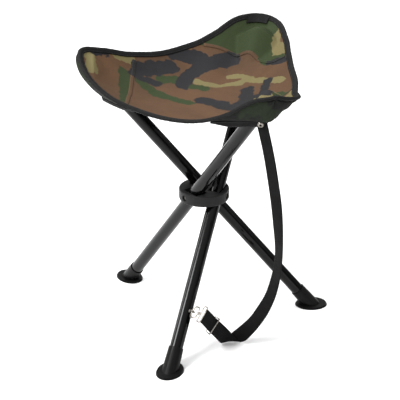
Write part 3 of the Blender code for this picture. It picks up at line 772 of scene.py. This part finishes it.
def pocket(letter):
    rows, columns = 28, 72

    def point(i, j):
        share, across = 0.985 * i / rows, -1 + 2 * j / columns
        here = pocket_point(letter, share, across)
        fold = 0.0010 * math.sin(14 * across + 5 * share) * math.sin(math.pi * share)
        return here + fold * UP
    name = f"pocket_cloth_{letter}"
    item = make_object(name, finished(net(rows, columns, point), name), POCKET_CLOTH, LINING)
    thicken(item, 0.0010, 0.0)
    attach(item, f"leg_{letter}")
    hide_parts(f"pocket_{letter}")
    return item


def hem_point(letter, share, across):
    """The tape round the pocket's mouth hangs below it, and tucks in: share 0 is its top, 1 its foot."""
    out, _ = leg_axes(letter)
    drop = 0.0005 + HEM_WIDTH[letter] * min(1.0, 0.25 + 2.0 * (1 - abs(across))) * share
    return pocket_point(letter, 0.0, across) - drop * UP - 0.42 * (drop - 0.0022) * out


HEM_WIDTH = {"a": 0.0120, "b": 0.0060, "c": 0.0080}


def pocket_hem(letter):
    """The tape that binds the pocket's mouth, and its stitches."""
    sections, spots = [], []
    count = 90
    for k in range(count + 1):
        across = -0.998 + 1.996 * k / count
        top, foot = hem_point(letter, 0.0, across), hem_point(letter, 1.0, across)
        along = (hem_point(letter, 0.0, across + 0.01) - top).normalized()
        down = (foot - top).normalized()
        out, _ = leg_axes(letter)
        face = along.cross(down).normalized()
        if face.dot(out) < 0:
            face = -face
        width = (foot - top).length
        section = [(0.0, 0.0004), (0.05, 0.0009), (0.32, 0.0010)]
        section += [(0.68, 0.0010), (0.92, 0.0012), (1.0, 0.0006)]
        section += [(x, -y) for x, y in reversed(section)]
        sections.append([top + x * width * down + y * face for x, y in section])
        spots += [(top + x * width * down + 0.0010 * face, along, face) for x in (0.18, 0.84)]
    name = f"pocket_binding_{letter}"
    item = make_object(name, loft(name, sections), HEM_TAPE)
    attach(item, f"leg_{letter}")
    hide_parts(f"pocket_hem_{letter}")
    line = stitches(f"pocket_stitches_{letter}", spots, BLACK_THREAD)
    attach(line, f"leg_{letter}")
    return [item, line]


def tag():
    """A blank woven tag: a thin strip, raised a little in its middle."""
    def point(i, j):
        angle = 83.6 + 8.6 * j / 24
        lift = 0.0034 + 0.0006 * math.sin(math.pi * j / 24)
        return seat_point(angle, tape_share(angle, 0.016 - 0.012 * i / 6), lift)
    item = make_object("woven_tag", finished(net(6, 24, point), "woven_tag"), TAG_CLOTH)
    thicken(item, 0.0008)
    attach(item, "leg_c")
    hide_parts("sewn_tag")


# Carry strap
STRAP_WIDTH = 0.025
STRAP = [
    ((0.1365, -0.0985, 0.4190), (0.88, -0.36, 0.00)),
    ((0.148, -0.097, 0.370), (0.91, -0.40, 0.00)),
    ((0.154, -0.092, 0.328), (0.91, -0.40, 0.00)),
    ((0.159, -0.085, 0.279), (0.91, -0.41, 0.00)),
    ((0.161, -0.079, 0.235), (0.86, -0.51, 0.00)),
    ((0.161, -0.072, 0.189), (0.76, -0.65, 0.00)),
    ((0.157, -0.067, 0.150), (0.76, -0.64, -0.10)),
    ((0.150, -0.064, 0.117), (0.78, -0.59, -0.21)),
    ((0.142, -0.062, 0.092), (0.78, -0.57, -0.25)),
    ((0.130, -0.060, 0.066), (0.80, -0.48, -0.35)),
    ((0.115, -0.060, 0.040), (0.75, -0.48, -0.44)),
    ((0.098, -0.063, 0.0185), (0.78, -0.25, -0.57)),
    ((0.0865, -0.0655, 0.0072), (0.90, 0.15, -0.38)),
    ((0.0805, -0.0685, 0.0026), (0.92, 0.38, -0.10)),
    ((0.0765, -0.0770, 0.0085), (0.76, 0.50, 0.42)),
    ((0.0722, -0.0940, 0.0290), (0.45, 0.66, 0.60)),
    ((0.0663, -0.1142, 0.0530), (0.30, 0.74, 0.60)),
    ((0.0610, -0.1320, 0.0755), (0.20, 0.77, 0.61)),
    ((0.0592, -0.1388, 0.0838), (0.19, 0.77, 0.61)),
]
PER_SPAN = 10
SPLIT = 9 * PER_SPAN  # the strap's two pieces meet here, where neither moves with a leg


# Half of the webbing's section, from selvedge to selvedge: across and up, as shares of its half sizes
SELVEDGE = [(-1.0, 0.0), (-0.97, 0.7), (-0.8, 1.0), (-0.3, 0.94),
            (0.3, 0.94), (0.8, 1.0), (0.97, 0.7), (1.0, 0.0)]


def ribbon(name, path, half, thickness):
    """Webbing with rounded selvedges, through (centre, across) points."""
    sections, alongs = [], []
    profile = SELVEDGE + [(x, -y) for x, y in reversed(SELVEDGE[1:-1])]
    travelled = 0.0
    for k, row in enumerate(path):
        centre, across = HUB + Vector(row[:3]), Vector(row[3:]).normalized()
        before, after = path[max(k - 1, 0)], path[min(k + 1, len(path) - 1)]
        along = (Vector(after[:3]) - Vector(before[:3])).normalized()
        normal = along.cross(across).normalized()
        if k:
            travelled += (Vector(row[:3]) - Vector(path[k - 1][:3])).length
        section = []
        for x, y in profile:
            section.append(centre + x * half * across + y * thickness / 2 * normal)
            alongs.append((travelled, x * half))
        sections.append(section)
    mesh = loft(name, sections)
    for index, label in enumerate(("along", "across")):
        layer = mesh.attributes.new(label, "FLOAT", "POINT")
        layer.data.foreach_set("value", [a[index] for a in alongs])
    mesh.set_sharp_from_angle(angle=math.radians(60))
    return make_object(name, mesh, WEBBING)


def carry_strap():
    path = smooth_path([(*centre, *across) for centre, across in STRAP], PER_SPAN)
    upper, lower = path[:SPLIT + 1], path[SPLIT:]
    for name, part, low, high, body in (
            ("carry_strap_upper", upper, Vector((0, 0, 0.07)), Vector((0, 0, 0.40)), "leg_a"),
            ("carry_strap_lower", lower, Vector((0, -0.072, 0)), Vector((0, -0.135, 0)), "leg_c")):
        item = ribbon(name, part, STRAP_WIDTH / 2, 0.0014)
        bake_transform(item)
        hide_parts("carry_strap")


# Floor and light
def stage():
    bm = bmesh.new()
    bmesh.ops.create_grid(bm, x_segments=1, y_segments=1, size=30.0)
    mesh = bpy.data.meshes.new("floor")
    bm.to_mesh(mesh)
    bm.free()
    m = Nodes("pale_floor", (0.93, 0.93, 0.93), 0.8)
    floor = make_object("floor", mesh, m.material)
    floor.location.z = -0.0004


def area_light(name, place, aim, size, power, tone=(1.0, 1.0, 1.0)):
    data = bpy.data.lights.new(name, "AREA")
    data.shape = "RECTANGLE"
    data.size, data.size_y = size
    data.energy = power
    data.color = tone
    lamp = bpy.data.objects.new(name, data)
    bpy.context.scene.collection.objects.link(lamp)
    lamp.location = place
    lamp.rotation_euler = (Vector(place) - Vector(aim)).to_track_quat("Z", "Y").to_euler()


def lights():
    world = bpy.data.worlds.new("studio")
    bpy.context.scene.world = world
    world.use_nodes = True
    tree = world.node_tree
    background = tree.nodes["Background"]
    background.inputs["Color"].default_value = (1.0, 1.0, 1.0, 1.0)
    place = tree.nodes.new("ShaderNodeTexCoord")
    split = tree.nodes.new("ShaderNodeSeparateXYZ")
    rise = tree.nodes.new("ShaderNodeMapRange")
    for label, number in (("From Min", 0.05), ("From Max", 0.75), ("To Min", 0.06), ("To Max", 1.12)):
        rise.inputs[label].default_value = number
    tree.links.new(place.outputs["Generated"], split.inputs[0])
    tree.links.new(split.outputs["Z"], rise.inputs["Value"])
    tree.links.new(rise.outputs["Result"], background.inputs["Strength"])
    area_light("top", (-0.5, 0.6, 2.2), (0, 0, 0.3), (1.6, 1.6), 24)
    area_light("strip", (-0.9, -1.4, 1.8), (0, -0.1, 0.15), (0.55, 1.7), 66)
    area_light("left", (-1.9, -0.2, 1.1), (0, 0, 0.3), (0.4, 1.6), 12)
    area_light("right", (2.0, 0.4, 1.3), (0, 0, 0.3), (0.3, 1.6), 10)
    bpy.context.scene.view_settings.view_transform = "Standard"


# Assembly
carry_strap()
for corner in AZIMUTH:
    edging = [edge_tape(corner, -1), edge_tape(corner, 1), tape_stitches(corner)]
    seat_sector(corner, False)
    seat_sector(corner, True)
    corner_seam(corner)
    pocket(corner)
    pocket_hem(corner)
tag()
FINISHES = {"leg_tube": PAINT, "hub_body": PLASTIC, "tube_plug": CAP_PLASTIC, "foot_boot": RUBBER,
            "pivot_pin": DARK_METAL, "strap_": METAL, "snap_hook": METAL, "hook_gate": METAL}
for node_name, node in NODES.items():
    for prefix, finish in FINISHES.items():
        if node_name.startswith(prefix):
            node.data.materials.clear()
            node.data.materials.append(finish)
stage()
lights()
